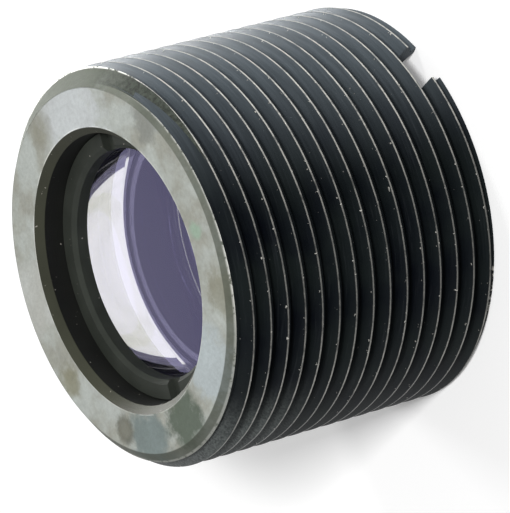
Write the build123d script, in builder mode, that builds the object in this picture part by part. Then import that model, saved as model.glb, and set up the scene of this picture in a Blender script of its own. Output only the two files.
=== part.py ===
from build123d import *
import os
from math import copysign, radians, sqrt, tan

# Threaded collimator lens: a turned barrel holding a stack of three glass elements.
# It stands on its slotted end at z = 0, with +Z along the optical axis towards the open
# end. The two spanner slots lie on the X axis.

# Barrel and its outside thread, millimetres. The crests are at the usual radius of a
# cut M10 x 0.5 thread, a little under 5.
barrel_length = 7.65
thread_radius = 4.95
thread_pitch = 0.5
thread_depth = 0.6134 * thread_pitch
crest_below_open_face = 0.378

# Outside edges: a shallow chamfer round the open end, and a broken edge at the slotted end
face_edge_radius = 4.5
end_chamfer_drop = 0.37
rim_radius = 4.86

# Rim that closes the last groove at the slotted end, narrower towards the thread
rim_height = 0.12
rim_foot_radius = 4.87
rim_top_radius = 4.78

# Bore, from the open end down to the skirt
mouth_radius = 3.53
mouth_chamfer = 0.18
ring_bore_radius = mouth_radius - mouth_chamfer
lens_bore_radius = 3.15
aperture_radius = 2.85
aperture_cone = 0.12
seat_height = 1.5
seat_thickness = 0.35
skirt_radius = 4.42
skirt_chamfer = 0.28

# Spanner slots across the slotted end
slot_width = 1.07
slot_depth = 0.75

# Glass elements: their edge heights from the seat up, and the radii of their faces
glass_radius = 3.1
glass_bevel = 0.08
clear_radius = 2.85
rear_edge = 0.5
middle_edge = 0.55
front_edge = 3.4
rear_hollow = 20.0
middle_rear_hollow = 12.0
middle_dome = 20.0
front_rear_hollow = 9.0
front_dome = 40.0

# Spacers between the elements, and the retaining ring over them
rear_spacer_height = 0.35
front_spacer_height = 0.25
spacer_radius = 3.1
spacer_bore = 2.85
spacer_chamfer = 0.08
ring_radius = 3.32
ring_inner_radius = 2.85
ring_height = 0.4
ring_cone = 0.1
notch_width = 0.5
notch_depth = 0.2
notch_turn = 53

# Heights of the stack, worked out from the seat up
rear_top = seat_height + rear_edge
middle_bottom = rear_top + rear_spacer_height
middle_top = middle_bottom + middle_edge
front_bottom = middle_top + front_spacer_height
front_top = front_bottom + front_edge

os.makedirs("parts", exist_ok=True)

# Thread ridge: a trapezoid swept up a helix, from below the slotted end to above the open end
root_radius = thread_radius - thread_depth
ridge_sink = 0.05
half_crest = thread_pitch / 16
half_base = half_crest + (thread_depth + ridge_sink) * tan(radians(30))
turns_to_start = 16
ridge_turns = 17.5
ridge_start = barrel_length - crest_below_open_face - turns_to_start * thread_pitch

with BuildPart() as ridge:
    with BuildLine() as ridge_path:
        Helix(
            pitch=thread_pitch,
            height=ridge_turns * thread_pitch,
            radius=root_radius,
            center=(0, 0, ridge_start),
        )
    with BuildSketch(Plane.XZ):
        with BuildLine():
            Polyline(
                (root_radius - ridge_sink, ridge_start - half_base),
                (thread_radius, ridge_start - half_crest),
                (thread_radius, ridge_start + half_crest),
                (root_radius - ridge_sink, ridge_start + half_base),
                close=True,
            )
        make_face()
    sweep(path=ridge_path.line, is_frenet=True)

# Barrel: a core and its ridge, cut to a turned wall with chamfered ends and a stepped bore
blank_spare = 1.0
aperture_bottom = seat_height - seat_thickness
chamfer_slope = end_chamfer_drop / (thread_radius - face_edge_radius)

with BuildPart() as barrel:
    with Locations((0, 0, -blank_spare)):
        Cylinder(
            root_radius,
            barrel_length + 2 * blank_spare,
            align=(Align.CENTER, Align.CENTER, Align.MIN),
        )
    add(ridge.part)
    Cone(
        rim_foot_radius,
        rim_top_radius,
        rim_height,
        align=(Align.CENTER, Align.CENTER, Align.MIN),
    )
    with BuildSketch(Plane.XZ):
        with BuildLine():
            Polyline(
                (skirt_radius + skirt_chamfer, 0),
                (skirt_radius, skirt_chamfer),
                (skirt_radius, aperture_bottom),
                (aperture_radius + aperture_cone, aperture_bottom),
                (aperture_radius, aperture_bottom + aperture_cone),
                (aperture_radius, seat_height),
                (lens_bore_radius, seat_height),
                (lens_bore_radius, front_top),
                (ring_bore_radius, front_top),
                (ring_bore_radius, barrel_length - mouth_chamfer),
                (mouth_radius, barrel_length),
                (face_edge_radius, barrel_length),
                (
                    thread_radius + blank_spare,
                    barrel_length - end_chamfer_drop - chamfer_slope * blank_spare,
                ),
                (thread_radius + blank_spare, thread_radius - rim_radius + blank_spare),
                (rim_radius, 0),
                close=True,
            )
        make_face()
    revolve(axis=Axis.Z, mode=Mode.INTERSECT)
    with BuildSketch():
        Rectangle(2 * thread_radius + blank_spare, slot_width)
    extrude(amount=slot_depth, mode=Mode.SUBTRACT)
barrel.part.label = "barrel"
export_step(barrel.part, "parts/barrel.step")


def cap_height(face_radius, half_width):
    """Height of a spherical face over a half width, with the sign of its radius, 0 if flat."""
    if face_radius == 0:
        return 0
    size = abs(face_radius)
    return copysign(size - sqrt(size**2 - half_width**2), face_radius)


def face_line(edge_height, face_radius):
    """Half section of a face, from the axis to its clear edge. It rises where the radius is positive."""
    rise = cap_height(face_radius, clear_radius)
    halfway = clear_radius / 2
    if face_radius == 0:
        Line((0, edge_height), (clear_radius, edge_height))
    else:
        ThreePointArc(
            (0, edge_height + rise),
            (halfway, edge_height + rise - cap_height(face_radius, halfway)),
            (clear_radius, edge_height),
        )


def make_element(name, bottom, top, bottom_face, top_face):
    """One glass element: two faces, a flat land round each, and a bevelled edge."""
    with BuildPart() as element:
        with BuildSketch(Plane.XZ):
            with BuildLine():
                Line(
                    (0, bottom + cap_height(bottom_face, clear_radius)),
                    (0, top + cap_height(top_face, clear_radius)),
                )
                face_line(top, top_face)
                Polyline(
                    (clear_radius, top),
                    (glass_radius - glass_bevel, top),
                    (glass_radius, top - glass_bevel),
                    (glass_radius, bottom + glass_bevel),
                    (glass_radius - glass_bevel, bottom),
                    (clear_radius, bottom),
                )
                face_line(bottom, bottom_face)
            make_face()
        revolve(axis=Axis.Z)
    element.part.label = name
    export_step(element.part, f"parts/{name}.step")


make_element("rear_element", seat_height, rear_top, 0, -rear_hollow)
make_element("middle_element", middle_bottom, middle_top, middle_rear_hollow, middle_dome)
make_element("front_element", front_bottom, front_top, front_rear_hollow, front_dome)


def make_spacer(name, bottom, height):
    """Turned spacer ring with the two edges of its bore broken."""
    with BuildPart() as spacer:
        with BuildSketch(Plane.XZ):
            with BuildLine():
                Polyline(
                    (spacer_bore + spacer_chamfer, bottom),
                    (spacer_radius, bottom),
                    (spacer_radius, bottom + height),
                    (spacer_bore + spacer_chamfer, bottom + height),
                    (spacer_bore, bottom + height - spacer_chamfer),
                    (spacer_bore, bottom + spacer_chamfer),
                    close=True,
                )
            make_face()
        revolve(axis=Axis.Z)
    spacer.part.label = name
    export_step(spacer.part, f"parts/{name}.step")


make_spacer("rear_spacer", rear_top, rear_spacer_height)
make_spacer("front_spacer", middle_top, front_spacer_height)

# Retaining ring: screwed in over the front element, with two notches for its tool
with BuildPart() as retaining_ring:
    with BuildSketch(Plane.XZ):
        with BuildLine():
            Polyline(
                (ring_inner_radius, front_top),
                (ring_radius, front_top),
                (ring_radius, front_top + ring_height),
                (ring_inner_radius + ring_cone, front_top + ring_height),
                (ring_inner_radius, front_top + ring_height - ring_cone),
                close=True,
            )
        make_face()
    revolve(axis=Axis.Z)
    with BuildSketch(Plane.XY.offset(front_top + ring_height)):
        with Locations(Rotation(0, 0, notch_turn)):
            Rectangle(2 * ring_radius + blank_spare, notch_width)
    extrude(amount=-notch_depth, mode=Mode.SUBTRACT)
retaining_ring.part.label = "retaining_ring"
export_step(retaining_ring.part, "parts/retaining_ring.step")
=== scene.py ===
from math import copysign, cos, pi, radians, sin, sqrt, tan

import bpy
from mathutils import Matrix, Vector


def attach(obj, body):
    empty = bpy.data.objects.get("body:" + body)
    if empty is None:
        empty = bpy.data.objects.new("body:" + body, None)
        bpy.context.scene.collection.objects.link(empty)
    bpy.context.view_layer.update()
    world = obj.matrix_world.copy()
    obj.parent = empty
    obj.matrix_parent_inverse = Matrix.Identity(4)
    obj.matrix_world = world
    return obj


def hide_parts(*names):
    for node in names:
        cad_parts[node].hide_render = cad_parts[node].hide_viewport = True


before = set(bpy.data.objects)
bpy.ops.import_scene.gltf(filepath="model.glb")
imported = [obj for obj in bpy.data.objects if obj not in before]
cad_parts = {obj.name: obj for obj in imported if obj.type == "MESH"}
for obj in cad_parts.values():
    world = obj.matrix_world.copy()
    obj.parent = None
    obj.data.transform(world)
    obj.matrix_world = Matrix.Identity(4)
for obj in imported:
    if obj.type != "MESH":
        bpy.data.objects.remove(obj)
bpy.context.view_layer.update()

# The lens stands on its slotted end at z = 0 with the open end up. Pieces are drawn in
# millimetres and brought down to metres when they are finished.
millimetre = 0.001

# Barrel and its outside thread
barrel_length = 7.65
thread_radius = 4.95
thread_pitch = 0.5
thread_depth = 0.6134 * thread_pitch
root_radius = thread_radius - thread_depth
flank_slope = tan(radians(30))
crest_below_open_face = 0.378
crest_width = 0.0625
crest_rounding = 0.014

# Outside edges of the barrel
face_edge_radius = 4.5
end_chamfer_drop = 0.37
chamfer_slope = end_chamfer_drop / (thread_radius - face_edge_radius)
rim_radius = 4.86
rim_height = 0.12
rim_foot_radius = 4.87
rim_top_radius = 4.78
rim_slope = (rim_foot_radius - rim_top_radius) / rim_height

# Bore, from the open end down to the skirt
mouth_radius = 3.53
mouth_chamfer = 0.18
ring_bore_radius = mouth_radius - mouth_chamfer
lens_bore_radius = 3.15
aperture_radius = 2.85
aperture_cone = 0.12
seat_height = 1.5
seat_thickness = 0.35
aperture_bottom = seat_height - seat_thickness
skirt_radius = 4.42
skirt_chamfer = 0.28

# Spanner slots
slot_width = 1.07
slot_depth = 0.75

# Glass elements
glass_radius = 3.1
glass_bevel = 0.08
clear_radius = 2.85
rear_edge = 0.5
middle_edge = 0.55
front_edge = 3.4
rear_hollow = 20.0
middle_rear_hollow = 12.0
middle_dome = 20.0
front_rear_hollow = 9.0
front_dome = 40.0

# Spacers and retaining ring
rear_spacer_height = 0.35
front_spacer_height = 0.25
spacer_radius = 3.1
spacer_bore = 2.85
spacer_chamfer = 0.08
ring_radius = 3.32
ring_inner_radius = 2.85
ring_height = 0.4
ring_cone = 0.1
notch_width = 0.5
notch_depth = 0.2
notch_turn = 53

# Heights of the stack
rear_top = seat_height + rear_edge
middle_bottom = rear_top + rear_spacer_height
middle_top = middle_bottom + middle_edge
front_bottom = middle_top + front_spacer_height
front_top = front_bottom + front_edge
ring_top = front_top + ring_height

# How finely the pieces are turned, how close points are merged, and how far the rod and
# the cutting tools reach past the barrel
thread_steps = 144
turned_steps = 192
dome_steps = 24
merge_gap = 0.0005
spare = 1.0

# Glass: how strongly each element bends light, and the violet of its coating
front_index = 1.5
middle_index = 1.7
rear_index = 1.6
outer_violet = (1.6, 1.45, 3.2, 1)
inner_violet = (0.8, 0.75, 1.2, 1)
clear_glass = (0.95, 0.945, 1, 1)

# Blacks of the turned pieces, each between a deeper and a lighter one
bore_black = ((0.006, 0.006, 0.006, 1), (0.014, 0.015, 0.013, 1))
spacer_black = ((0.006, 0.006, 0.006, 1), (0.014, 0.014, 0.013, 1))
ring_black = ((0.018, 0.021, 0.017, 1), (0.045, 0.05, 0.042, 1))

# Height of the fine grain that a bump gives to every metal finish
grain_height = 0.006

# Stains on the open end: where, how large, how strong, and their colour
stains = [
    (2.2, 3.3, 1.3, 0.85, (0.58, 0.61, 0.62, 1)),
    (-3.3, 2.3, 0.9, 0.6, (0.53, 0.54, 0.51, 1)),
    (0.7, -4.0, 0.9, 0.8, (0.47, 0.53, 0.55, 1)),
    (0.9, 4.1, 0.5, 0.45, (0.2, 0.19, 0.13, 1)),
    (-4.15, 0.2, 0.4, 0.7, (0.2, 0.19, 0.11, 1)),
    (4.3, 0.8, 0.5, 0.7, (0.2, 0.21, 0.19, 1)),
    (2.75, -3.5, 0.6, 0.7, (0.24, 0.235, 0.17, 1)),
    (-2.9, -3.0, 0.8, 0.8, (0.14, 0.19, 0.19, 1)),
    (-1.3, -3.8, 0.75, 0.9, (0.06, 0.085, 0.055, 1)),
    (3.35, -1.95, 0.22, 0.5, (0.3, 0.5, 0.36, 1)),
]
drop_mark = (-3.48, -2.07)

# Soft square lamps: name, place and size in metres, power, and whether they show as reflections
lamps = [
    ("key", (0.126, -0.064, 0.145), 0.035, 0.34, False),
    ("top", (0.084, 0.18, 0.025), 0.036, 0.4, False),
    ("top_sheen", (-0.068, 0.186, 0.032), 0.05, 0.31, True),
]

# Camera: its place in millimetres, the picture's right and down in the lens's own axes, and
# its lens and sensor
camera_place = (97.861, -73.209, 82.922)
picture_right = (0.26385, -0.52465, -0.8094)
picture_down = (-0.68983, -0.68915, 0.22183)
camera_lens = 423.53
sensor_width = 36


class Value:
    """A socket that a node gives. Plain operators on it add Math nodes."""

    def __init__(self, finish, socket):
        self.finish = finish
        self.socket = socket

    def __add__(self, other):
        return self.finish.math("ADD", self, other)

    __radd__ = __add__

    def __sub__(self, other):
        return self.finish.math("SUBTRACT", self, other)

    def __rsub__(self, other):
        return self.finish.math("SUBTRACT", other, self)

    def __mul__(self, other):
        return self.finish.math("MULTIPLY", self, other)

    __rmul__ = __mul__

    def __truediv__(self, other):
        return self.finish.math("DIVIDE", self, other)

    def __abs__(self):
        return self.finish.math("ABSOLUTE", self)

    def ramp(self, low, high):
        """0 below low, 1 above high and smooth between. It falls where low is the larger."""
        settings = {"interpolation_type": "SMOOTHSTEP"}
        sockets = {"Value": self, "From Min": low, "From Max": high}
        return self.finish.node("MapRange", settings, sockets, "Result")


class Finish:
    """The nodes of one material, or of the world."""

    def __init__(self, owner):
        self.owner = owner
        owner.use_nodes = True
        self.tree = owner.node_tree
        self.tree.nodes.clear()

    def node(self, kind, settings, sockets, output=0):
        """Adds a node of this kind with its settings and sockets, and gives one output of it."""
        made = self.tree.nodes.new("ShaderNode" + kind)
        for name, value in settings.items():
            setattr(made, name, value)
        for name, value in sockets.items():
            if isinstance(value, Value):
                self.tree.links.new(value.socket, made.inputs[name])
            else:
                made.inputs[name].default_value = value
        return Value(self, made.outputs[output]) if made.outputs else None

    def math(self, operation, first, second=0):
        return self.node("Math", {"operation": operation}, {0: first, 1: second})

    def larger(self, first, second):
        return self.math("MAXIMUM", first, second)

    def mix(self, factor, first, second):
        """A colour between two colours."""
        return self.node("Mix", {"data_type": "RGBA"}, {0: factor, 6: first, 7: second}, 2)

    def shaded(self, color, level):
        """A colour made lighter or darker by a level round 1."""
        return self.node("VectorMath", {"operation": "SCALE"}, {0: color, "Scale": level})

    def place(self):
        """The point on the piece, in millimetres."""
        coordinates = self.node("TexCoord", {}, {}, "Object")
        return self.shaded(coordinates, 1 / millimetre)

    def along(self, place, axis):
        return self.node("SeparateXYZ", {}, {0: place}, axis)

    def radius(self, place):
        """Distance of a point from the optical axis."""
        flat = self.node("VectorMath", {"operation": "MULTIPLY"}, {0: place, 1: (1, 1, 0)})
        return self.node("VectorMath", {"operation": "LENGTH"}, {0: flat}, "Value")

    def angle(self, place):
        """Angle round the optical axis from the X axis, in degrees from -180 to 180."""
        angle = self.math("ARCTAN2", self.along(place, "Y"), self.along(place, "X"))
        return angle * (180 / pi)

    def facing(self, place, azimuth):
        """Cosine of the angle round the optical axis between a point and an azimuth in degrees."""
        side = (cos(radians(azimuth)), sin(radians(azimuth)), 0)
        toward = self.node("VectorMath", {"operation": "DOT_PRODUCT"}, {0: place, 1: side}, "Value")
        return toward / self.radius(place)

    def turns(self, place):
        """Turns of the thread up to a point, 0.5 on the crest that leaves the X axis at the open end."""
        drop = self.along(place, "Z") - (barrel_length - crest_below_open_face)
        return drop / thread_pitch - self.angle(place) / 360 + 0.5

    def past_crest(self, place):
        """How far a point lies along the axis from the middle of the nearest crest."""
        return (self.math("FRACT", self.turns(place)) - 0.5) * thread_pitch

    def noise(self, place, scale, detail=3, roughness=0.5):
        sockets = {"Vector": place, "Scale": scale, "Detail": detail, "Roughness": roughness}
        return self.node("TexNoise", {}, sockets, "Fac")

    def stretched(self, place, scale, location=(0, 0, 0)):
        """A place drawn out or moved, for a pattern that runs one way or is another piece of it."""
        sockets = {"Vector": place, "Location": location, "Scale": scale}
        return self.node("Mapping", {"vector_type": "POINT"}, sockets)

    def patch(self, place, x, y, size, ragged):
        """1 in a blot round a point of the open face, and 0 past its ragged edge."""
        centre = (x, y, barrel_length)
        distance = self.node("VectorMath", {"operation": "DISTANCE"}, {0: place, 1: centre}, "Value")
        return (distance / size + ragged).ramp(1.4, 0.6)

    def grain(self, height):
        """Raises the surface by a height round 0 to 1, counted in the height of the fine grain."""
        return self.node("Bump", {}, {"Distance": grain_height * millimetre, "Height": height})

    def output(self, shader, kind="OutputMaterial"):
        """Ends the tree with this shader, and gives back the material or the world."""
        self.node(kind, {}, {"Surface": shader})
        return self.owner


def material(name):
    return Finish(bpy.data.materials.new(name))


def crest_wear_and_painted_shade(finish, place, radius, past, angle):
    """Where the blackening is worn off in a thin line along each crest; the line is painted dimmer as
    shade round azimuth -52 and where it faces down, at azimuth -125.
    """
    wander = finish.noise(place, 5, 3) * 0.016
    line = abs(past + wander - 0.008).ramp(0.026, 0.012) * radius.ramp(4.925, 4.94)
    kept = finish.noise(place, 2.6, 5, 0.7).ramp(0.3, 0.55)
    # Painted shade: the wear line falls to 0.3 round azimuth -52.
    wear_and_painted_shade = line * (0.3 + 0.7 * kept) * (0.3 + 0.7 * abs(angle + 52).ramp(6, 55))
    # Painted shade: dimmer still, to 0.4, where the crest faces azimuth -125.
    return wear_and_painted_shade * (1 - 0.6 * finish.facing(place, -125).ramp(0.77, 0.99))


def chipped_rim(finish, place, height, angle):
    """Chips along one stretch of the rim at the slotted end."""
    stretch = abs(angle + 72).ramp(9, 6) * height.ramp(0.1, 0.06)
    return stretch * finish.noise(place, 7, 4, 0.7).ramp(0.5, 0.55)


def thread_finish():
    """Blackened metal: bare along the crests, with nicks, scratches along the thread and dust. The crest
    lines are painted dimmer as shade round azimuth -52 and -125, a painted sheen lightens the side
    facing azimuth 60, and a painted reflection of the floor greys the flanks round azimuth -120 near the
    open end.
    """
    deep_black = (0.002, 0.0025, 0.004, 1)
    soft_black = (0.006, 0.008, 0.008, 1)
    scratched = (0.04, 0.045, 0.05, 1)
    painted_blue_sheen = (0.08, 0.095, 0.107, 1)
    floor_reflection_grey = (0.14, 0.155, 0.15, 1)
    dull_metal = (0.25, 0.25, 0.24, 1)
    bright_metal = (0.63, 0.61, 0.55, 1)
    dust_grey = (0.13, 0.125, 0.12, 1)

    finish = material("blackened_thread")
    place = finish.place()
    radius = finish.radius(place)
    height = finish.along(place, "Z")
    angle = finish.angle(place)
    past = finish.past_crest(place)
    clouds = finish.noise(place, 0.7, 4)
    fine = finish.noise(place, 16, 3)
    turned = finish.noise(finish.stretched(place, (0.7, 0.7, 26)), 1, 3, 0.6)

    nicks = finish.noise(place, 11, 2).ramp(0.69, 0.72) * abs(past).ramp(0.07, 0.04)
    nicks = nicks * radius.ramp(4.88, 4.91)
    chips = chipped_rim(finish, place, height, angle)
    bare_and_painted_shade = crest_wear_and_painted_shade(finish, place, radius, past, angle)
    bare_and_painted_shade = finish.larger(bare_and_painted_shade, finish.larger(nicks, chips))

    black = finish.mix(clouds.ramp(0.3, 0.7), deep_black, soft_black)
    black = finish.mix(turned.ramp(0.55, 0.8) * 0.2, black, scratched)
    # Painted sheen: the side facing azimuth 60 is painted blue-grey, broken up by the turned scratches.
    painted_sheen = finish.facing(place, 60).ramp(-0.05, 0.95) * (0.35 + 0.9 * turned)
    black = finish.mix(painted_sheen, black, painted_blue_sheen)
    # Painted reflection of the white floor: flanks round azimuth -120, towards the open end, are painted
    # grey, broken up by fine noise.
    painted_floor_reflection = abs(angle + 120).ramp(38, 12) * height.ramp(4.6, 6.4) * (1.6 * fine - 0.3)
    black = finish.mix(painted_floor_reflection, black, floor_reflection_grey)
    metal = finish.mix(fine, dull_metal, bright_metal)
    color = finish.mix(bare_and_painted_shade, black, metal)
    dust = finish.noise(place, 14, 1).ramp(0.79, 0.81)
    sockets = {
        "Base Color": finish.mix(dust, color, dust_grey),
        "Metallic": bare_and_painted_shade * 0.2,
        "Roughness": 0.42 + 0.16 * clouds - 0.1 * turned,
        "Specular IOR Level": 0.3,
        "Specular Tint": (0.2, 0.25, 0.28, 1),
        "Normal": finish.grain(fine * 0.5 + turned + nicks * 3),
    }
    return finish.output(finish.node("BsdfPrincipled", {}, sockets))


def dried_drop(finish, place, fine, color):
    """The round mark of a dried drop, darker in a ring round its edge."""
    brown = (0.15, 0.15, 0.115, 1)
    dark_brown = (0.06, 0.06, 0.04, 1)
    ragged = (fine - 0.5) * 0.5
    spot = finish.patch(place, *drop_mark, 0.33, ragged)
    ring = spot * (1 - finish.patch(place, *drop_mark, 0.24, ragged))
    color = finish.mix(spot * 0.85, color, brown)
    return finish.mix(ring * 0.5, color, dark_brown)


def groove_burr_with_painted_shade(finish, place, radius):
    """Bare burr along the edge where each groove breaks out through the chamfer, painted fainter as
    shade on the side away from azimuth 50.
    """
    past = finish.past_crest(place)
    crest_gap = (abs(past) - crest_width / 2) / flank_slope
    to_edge = thread_radius - crest_gap - radius
    burr = to_edge.ramp(0.16, 0.09) * finish.noise(place, 5, 4, 0.7).ramp(0.36, 0.5)
    burr = burr * radius.ramp(4.6, 4.68) * past.ramp(0.0, -0.02)
    # Painted shade: down to a quarter as bright on the side away from azimuth 50.
    return burr * (0.25 + 0.75 * finish.facing(place, 50).ramp(-0.5, 0))


def worn_mouth(finish, place, radius):
    """Bare metal here and there on the inner edge of the open end."""
    edge = radius.ramp(mouth_radius + 0.035, mouth_radius + 0.015)
    return edge * finish.noise(place, 1.6, 4, 0.6).ramp(0.4, 0.52)


def face_finish():
    """The open end: satin grey metal under a mottled brown and blue-green patina, with painted shade
    darkening the chamfer on the side facing azimuth 58.
    """
    warm_grey = (0.33, 0.335, 0.29, 1)
    cool_grey = (0.45, 0.48, 0.45, 1)
    chamfer_brown_and_painted_shade = (0.08, 0.09, 0.07, 1)
    ridge_black = (0.02, 0.023, 0.019, 1)
    ridge_green = (0.07, 0.08, 0.066, 1)
    bare_metal = (0.85, 0.85, 0.8, 1)

    finish = material("mottled_open_face")
    place = finish.place()
    radius = finish.radius(place)
    clouds = finish.noise(place, 0.8, 4, 0.6)
    mottle = finish.noise(finish.stretched(place, (1, 1, 1), (7, 3, 0)), 2.4, 4, 0.65)
    fine = finish.noise(place, 9, 4, 0.7)
    ragged = (mottle - 0.5) * 1.8

    color = finish.mix(clouds.ramp(0.38, 0.62), warm_grey, cool_grey)
    for x, y, size, strength, stain in stains:
        blot = finish.patch(place, x, y, size, ragged)
        color = finish.mix(blot * strength, color, stain)
    color = dried_drop(finish, place, fine, color)

    chamfer = radius.ramp(face_edge_radius - 0.03, face_edge_radius + 0.01)
    # The chamfer goes brown with the mottle, and fully dark on the side facing azimuth 58 as painted
    # shade.
    browned_and_painted_shade = 0.54 + 0.5 * mottle + 0.3 * finish.facing(place, 58).ramp(0.85, 1)
    color = finish.mix(chamfer * browned_and_painted_shade, color, chamfer_brown_and_painted_shade)
    color = finish.shaded(color, 0.56 + 0.3 * mottle + 0.4 * fine)
    first_ridge = finish.turns(place).ramp(1.02, 0.98) * finish.angle(place).ramp(45, 22)
    ridge = finish.mix(fine.ramp(0.3, 0.75), ridge_black, ridge_green)
    color = finish.mix(first_ridge * chamfer, color, ridge)

    # The burr carries painted shade on the side away from azimuth 50.
    burr = groove_burr_with_painted_shade(finish, place, radius)
    bare_and_painted_shade = finish.larger(burr, worn_mouth(finish, place, radius) * 0.35)
    sockets = {
        "Base Color": finish.mix(bare_and_painted_shade, color, bare_metal),
        "Metallic": 0.1,
        "Roughness": 0.45 + 0.16 * mottle + 0.2 * chamfer,
        "Specular IOR Level": 0.3,
        "Normal": finish.grain(fine + bare_and_painted_shade * 2),
    }
    return finish.output(finish.node("BsdfPrincipled", {}, sockets))


def bore_finish(name, blacks):
    """Matt blackening inside the barrel and on the rings, browner on the mouth's chamfer."""
    dark_brown = (0.022, 0.023, 0.015, 1)
    light_brown = (0.05, 0.052, 0.036, 1)
    dust_grey = (0.35, 0.33, 0.3, 1)
    mouth_foot = barrel_length - mouth_chamfer

    finish = material(name)
    place = finish.place()
    clouds = finish.noise(place, 1.4, 4)
    grain = finish.noise(place, 26, 3)
    turned = finish.noise(finish.stretched(place, (0.6, 0.6, 22)), 1, 2)
    color = finish.mix(clouds, *blacks)
    chamfer = finish.along(place, "Z").ramp(mouth_foot - 0.02, mouth_foot)
    color = finish.mix(chamfer, color, finish.mix(clouds, dark_brown, light_brown))
    dust = finish.noise(place, 12, 1).ramp(0.77, 0.79)
    sockets = {
        "Base Color": finish.mix(dust, color, dust_grey),
        "Metallic": 0.1,
        "Roughness": 0.5 + 0.15 * clouds,
        "Specular IOR Level": 0.25,
        "Normal": finish.grain(grain * 0.6 + turned),
    }
    return finish.output(finish.node("BsdfPrincipled", {}, sockets))


def glass_finish(name, index, tint):
    """Polished glass under a violet anti-reflection coating, which tints what it reflects."""
    finish = material(name)
    sockets = {
        "Base Color": clear_glass,
        "Roughness": 0,
        "IOR": index,
        "Transmission Weight": 1,
        "Specular Tint": tint,
    }
    return finish.output(finish.node("BsdfPrincipled", {}, sockets))


def seen(finish):
    """1 for a ray from the camera, a reflection or glass, and 0 for light on the object."""
    camera = finish.node("LightPath", {}, {}, "Is Camera Ray")
    reflected = finish.node("LightPath", {}, {}, "Is Glossy Ray")
    through = finish.node("LightPath", {}, {}, "Is Transmission Ray")
    return finish.larger(camera, finish.larger(reflected, through))


def floor_finish():
    """White floor that keeps the shadow. Through glass it is as white as the rest."""
    finish = material("white_floor")
    through = finish.node("LightPath", {}, {}, "Is Transmission Ray")
    sockets = {
        "Base Color": (0.85, 0.85, 0.85, 1),
        "Roughness": 1,
        "Specular IOR Level": 0,
        "Emission Color": (1, 1, 1, 1),
        "Emission Strength": seen(finish) * 0.25 + through * 0.75,
    }
    return finish.output(finish.node("BsdfPrincipled", {}, sockets))


def select_only(piece):
    bpy.ops.object.select_all(action="DESELECT")
    piece.select_set(True)
    bpy.context.view_layer.objects.active = piece


def edit(piece):
    """Makes this piece the only one selected, and opens it with all of it selected."""
    select_only(piece)
    bpy.ops.object.mode_set(mode="EDIT")
    bpy.ops.mesh.select_all(action="SELECT")


def draw_section(name, points, closed):
    """An outline in the XZ plane, (radius, height) by (radius, height)."""
    bpy.ops.object.select_all(action="DESELECT")
    start = (points[0][0], 0, points[0][1])
    bpy.ops.mesh.primitive_plane_add(size=0.1, location=start)
    section = bpy.context.object
    section.name = name
    bpy.ops.object.transform_apply(location=True)
    bpy.ops.object.mode_set(mode="EDIT")
    bpy.ops.mesh.select_mode(type="VERT")
    bpy.ops.mesh.merge(type="CENTER")
    for (radius, height), (next_radius, next_height) in zip(points, points[1:]):
        step = (next_radius - radius, 0, next_height - height)
        bpy.ops.mesh.extrude_vertices_move(TRANSFORM_OT_translate={"value": step})
    if closed:
        bpy.ops.object.mode_set(mode="OBJECT")
        for vertex in section.data.vertices:
            vertex.select = vertex.index in (0, len(points) - 1)
        bpy.ops.object.mode_set(mode="EDIT")
        bpy.ops.mesh.edge_face_add()
    bpy.ops.object.mode_set(mode="OBJECT")
    return section


def turn_on_lathe(piece):
    """Spins a section once round the optical axis into a closed skin."""
    edit(piece)
    bpy.ops.mesh.spin(steps=turned_steps, angle=2 * pi, center=(0, 0, 0), axis=(0, 0, 1))
    bpy.ops.mesh.select_all(action="SELECT")
    bpy.ops.mesh.remove_doubles(threshold=merge_gap)
    bpy.ops.mesh.normals_make_consistent(inside=False)
    bpy.ops.object.mode_set(mode="OBJECT")
    return piece


def cut(piece, tool, operation):
    """Cuts or joins a piece with a tool, or keeps only what they share, and clears the tool away."""
    select_only(piece)
    bpy.ops.object.modifier_add(type="BOOLEAN")
    boolean = piece.modifiers[-1]
    boolean.operation = operation
    boolean.object = tool
    boolean.solver = "EXACT"
    bpy.ops.object.modifier_apply(modifier=boolean.name)
    bpy.data.objects.remove(tool, do_unlink=True)
    edit(piece)
    bpy.ops.mesh.remove_doubles(threshold=merge_gap)
    bpy.ops.object.mode_set(mode="OBJECT")


def block(size, location, turn=0):
    """A plain block, used to cut a slot or a pair of notches."""
    bpy.ops.object.select_all(action="DESELECT")
    bpy.ops.mesh.primitive_cube_add(size=1, location=location, rotation=(0, 0, radians(turn)))
    made = bpy.context.object
    made.scale = size
    bpy.ops.object.transform_apply(location=True, rotation=True, scale=True)
    return made


def finish_piece(piece, materials, node, angle=30):
    """Brings a piece down to metres, smooths it and puts it in the frame for its node."""
    select_only(piece)
    piece.scale = (millimetre, millimetre, millimetre)
    bpy.ops.object.transform_apply(location=True, rotation=True, scale=True)
    bpy.ops.object.shade_smooth_by_angle(angle=radians(angle))
    piece.data.materials.clear()
    for finish in materials:
        piece.data.materials.append(finish)
    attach(piece, "root")
    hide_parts(node)


def close_rod_end(rod, is_upper, middle):
    """Draws one open end of the rod together to a point, which is cut away later."""
    bpy.ops.mesh.select_all(action="DESELECT")
    bpy.ops.mesh.select_non_manifold()
    bpy.ops.object.mode_set(mode="OBJECT")
    for vertex in rod.data.vertices:
        if (vertex.co.z > middle) != is_upper:
            vertex.select = False
    for edge in rod.data.edges:
        edge.select = edge.select and all(rod.data.vertices[i].select for i in edge.vertices)
    bpy.ops.object.mode_set(mode="EDIT")
    bpy.ops.mesh.extrude_edges_move()
    bpy.ops.mesh.merge(type="CENTER")


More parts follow.
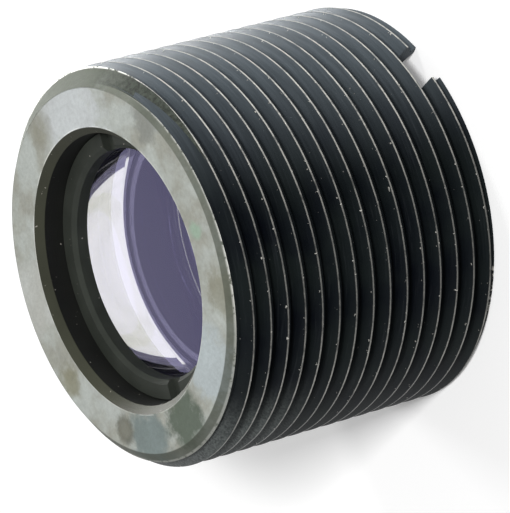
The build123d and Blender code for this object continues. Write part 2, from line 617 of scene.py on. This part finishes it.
def thread_profile(lift):
    """One groove and crest of the thread, (radius, height) by (radius, height), at a height."""
    half_crest = crest_width / 2
    flank_rise = thread_depth * flank_slope
    middle = thread_pitch / 2
    round_in = crest_rounding * flank_slope
    profile = [
        (root_radius, 0),
        (root_radius, middle - half_crest - flank_rise),
        (thread_radius - crest_rounding, middle - half_crest - round_in),
        (thread_radius - crest_rounding / 4, middle - half_crest + round_in / 2),
        (thread_radius, middle - half_crest / 2),
        (thread_radius, middle + half_crest / 2),
        (thread_radius - crest_rounding / 4, middle + half_crest - round_in / 2),
        (thread_radius - crest_rounding, middle + half_crest + round_in),
        (root_radius, middle + half_crest + flank_rise),
        (root_radius, thread_pitch),
    ]
    return [(radius, height + lift) for radius, height in profile]


def threaded_rod():
    """A closed threaded rod, longer than the barrel at both ends."""
    turns_below = 16
    turns = 18
    lift = barrel_length - crest_below_open_face - thread_pitch / 2 - turns_below * thread_pitch
    rod = draw_section("barrel_turned", thread_profile(lift), closed=False)
    select_only(rod)
    bpy.ops.object.modifier_add(type="SCREW")
    screw = rod.modifiers[-1]
    screw.axis = "Z"
    screw.angle = 2 * pi
    screw.screw_offset = thread_pitch
    screw.iterations = turns
    screw.steps = thread_steps
    screw.render_steps = thread_steps
    screw.use_merge_vertices = True
    screw.merge_threshold = merge_gap
    bpy.ops.object.modifier_apply(modifier=screw.name)
    edit(rod)
    bpy.ops.mesh.remove_doubles(threshold=merge_gap)
    halfway = lift + turns * thread_pitch / 2
    close_rod_end(rod, False, halfway)
    close_rod_end(rod, True, halfway)
    bpy.ops.mesh.select_all(action="SELECT")
    bpy.ops.mesh.normals_make_consistent(inside=False)
    bpy.ops.object.mode_set(mode="OBJECT")
    return rod


def lay_barrel_materials(barrel):
    """The thread's finish is the barrel's first, the open end's the second, the bore's the third."""
    on_face = 0.01
    for face in barrel.data.polygons:
        radius = Vector(face.center[:2]).length / millimetre
        height = face.center.z / millimetre
        end_height = barrel_length - chamfer_slope * max(radius - face_edge_radius, 0)
        on_end = radius > mouth_radius and abs(height - end_height) < on_face
        if on_end and face.normal.z > 0.7:
            face.material_index = 1
        elif radius < root_radius - 0.05:
            face.material_index = 2


def make_barrel():
    """The threaded rod, closed by its rim, cut to the turned wall and slotted across its lower end."""
    barrel = threaded_rod()
    rim = [
        (0, -spare),
        (rim_foot_radius + rim_slope * spare, -spare),
        (rim_top_radius, rim_height),
        (0, rim_height),
    ]
    cut(barrel, turn_on_lathe(draw_section("rim", rim, closed=False)), "UNION")
    outer = thread_radius + spare
    wall = [
        (skirt_radius + skirt_chamfer, 0),
        (skirt_radius, skirt_chamfer),
        (skirt_radius, aperture_bottom),
        (aperture_radius + aperture_cone, aperture_bottom),
        (aperture_radius, aperture_bottom + aperture_cone),
        (aperture_radius, seat_height),
        (lens_bore_radius, seat_height),
        (lens_bore_radius, front_top),
        (ring_bore_radius, front_top),
        (ring_bore_radius, barrel_length - mouth_chamfer),
        (mouth_radius, barrel_length),
        (face_edge_radius, barrel_length),
        (outer, barrel_length - chamfer_slope * (outer - face_edge_radius)),
        (outer, outer - rim_radius),
        (rim_radius, 0),
    ]
    cut(barrel, turn_on_lathe(draw_section("wall", wall, closed=True)), "INTERSECT")
    slot = block((2 * thread_radius + spare, slot_width, 2 * spare), (0, 0, slot_depth - spare))
    cut(barrel, slot, "DIFFERENCE")
    black = bore_finish("blackened_bore", bore_black)
    finish_piece(barrel, [thread_finish(), face_finish(), black], "barrel")
    lay_barrel_materials(barrel)


def cap_height(face_radius, half_width):
    """Height of a spherical face over a half width, with the sign of its radius, 0 if flat."""
    if face_radius == 0:
        return 0
    size = abs(face_radius)
    return copysign(size - sqrt(size**2 - half_width**2), face_radius)


def glass_face(edge_height, face_radius):
    """Points of a face from the axis out to its clear edge."""
    rise = cap_height(face_radius, clear_radius)
    points = []
    for step in range(dome_steps + 1):
        radius = clear_radius * step / dome_steps
        points.append((radius, edge_height + rise - cap_height(face_radius, radius)))
    return points


def make_element(name, bottom, top, bottom_face, top_face, index, tint):
    """A glass element: its two faces, the land round each and a bevelled edge."""
    section = glass_face(top, top_face)
    section += [
        (glass_radius - glass_bevel, top),
        (glass_radius, top - glass_bevel),
        (glass_radius, bottom + glass_bevel),
        (glass_radius - glass_bevel, bottom),
    ]
    section += reversed(glass_face(bottom, bottom_face))
    element = turn_on_lathe(draw_section(name + "_glass", section, closed=False))
    finish_piece(element, [glass_finish(name + "_coated", index, tint)], name, 15)


def make_spacer(name, bottom, height):
    """A turned black ring between two elements, with the edges of its bore broken."""
    top = bottom + height
    section = [
        (spacer_bore + spacer_chamfer, bottom),
        (spacer_radius, bottom),
        (spacer_radius, top),
        (spacer_bore + spacer_chamfer, top),
        (spacer_bore, top - spacer_chamfer),
        (spacer_bore, bottom + spacer_chamfer),
    ]
    spacer = turn_on_lathe(draw_section(name + "_turned", section, closed=True))
    finish_piece(spacer, [bore_finish(name + "_black", spacer_black)], name)


def make_retaining_ring():
    """The ring over the glass, with two notches for its tool."""
    section = [
        (ring_inner_radius, front_top),
        (ring_radius, front_top),
        (ring_radius, ring_top),
        (ring_inner_radius + ring_cone, ring_top),
        (ring_inner_radius, ring_top - ring_cone),
    ]
    ring = turn_on_lathe(draw_section("retaining_ring_turned", section, closed=True))
    notch_size = (2 * ring_radius + spare, notch_width, 2 * notch_depth)
    cut(ring, block(notch_size, (0, 0, ring_top), notch_turn), "DIFFERENCE")
    finish_piece(ring, [bore_finish("ring_black", ring_black)], "retaining_ring")


def make_floor():
    bpy.ops.object.select_all(action="DESELECT")
    bpy.ops.mesh.primitive_plane_add(size=4, location=(0, 0, 0))
    floor = bpy.context.object
    floor.name = "floor"
    floor.data.materials.append(floor_finish())


def make_world():
    """White where it is seen, reflected or looked at through glass, and softer as a light."""
    world = bpy.data.worlds.new("soft_room")
    bpy.context.scene.world = world
    finish = Finish(world)
    strength = 0.2 + 0.8 * seen(finish)
    background = finish.node("Background", {}, {"Color": (1, 1, 1, 1), "Strength": strength})
    finish.output(background, "OutputWorld")


def make_lamp(name, place, size, power, shows_in_reflections):
    """A square soft lamp, aimed at the middle of the lens."""
    target = Vector((0, 0, barrel_length / 2 * millimetre))
    bpy.ops.object.light_add(type="AREA", location=place)
    lamp = bpy.context.object
    lamp.name = name
    lamp.rotation_euler = (target - Vector(place)).to_track_quat("-Z", "Y").to_euler()
    lamp.data.size = size
    lamp.data.energy = power
    lamp.visible_glossy = shows_in_reflections
    lamp.visible_transmission = False


def make_camera():
    """The camera stands where the photograph was taken from, turned on its own axis as there."""
    right = Vector(picture_right).normalized()
    forward = right.cross(Vector(picture_down)).normalized()
    up = -forward.cross(right)
    bpy.ops.object.camera_add(location=Vector(camera_place) * millimetre)
    camera = bpy.context.object
    camera.rotation_euler = Matrix((right, up, -forward)).transposed().to_euler()
    camera.data.sensor_fit = "HORIZONTAL"
    camera.data.sensor_width = sensor_width
    camera.data.lens = camera_lens
    camera.data.clip_start = 0.001
    camera.data.clip_end = 20
    bpy.context.scene.camera = camera


make_barrel()
make_element("rear_element", seat_height, rear_top, 0, -rear_hollow, rear_index, inner_violet)
make_element(
    "middle_element",
    middle_bottom,
    middle_top,
    middle_rear_hollow,
    middle_dome,
    middle_index,
    inner_violet,
)
make_element(
    "front_element",
    front_bottom,
    front_top,
    front_rear_hollow,
    front_dome,
    front_index,
    outer_violet,
)
make_spacer("rear_spacer", rear_top, rear_spacer_height)
make_spacer("front_spacer", middle_top, front_spacer_height)
make_retaining_ring()
make_floor()
make_world()
for lamp_values in lamps:
    make_lamp(*lamp_values)
make_camera()
bpy.context.scene.view_settings.view_transform = "Standard"
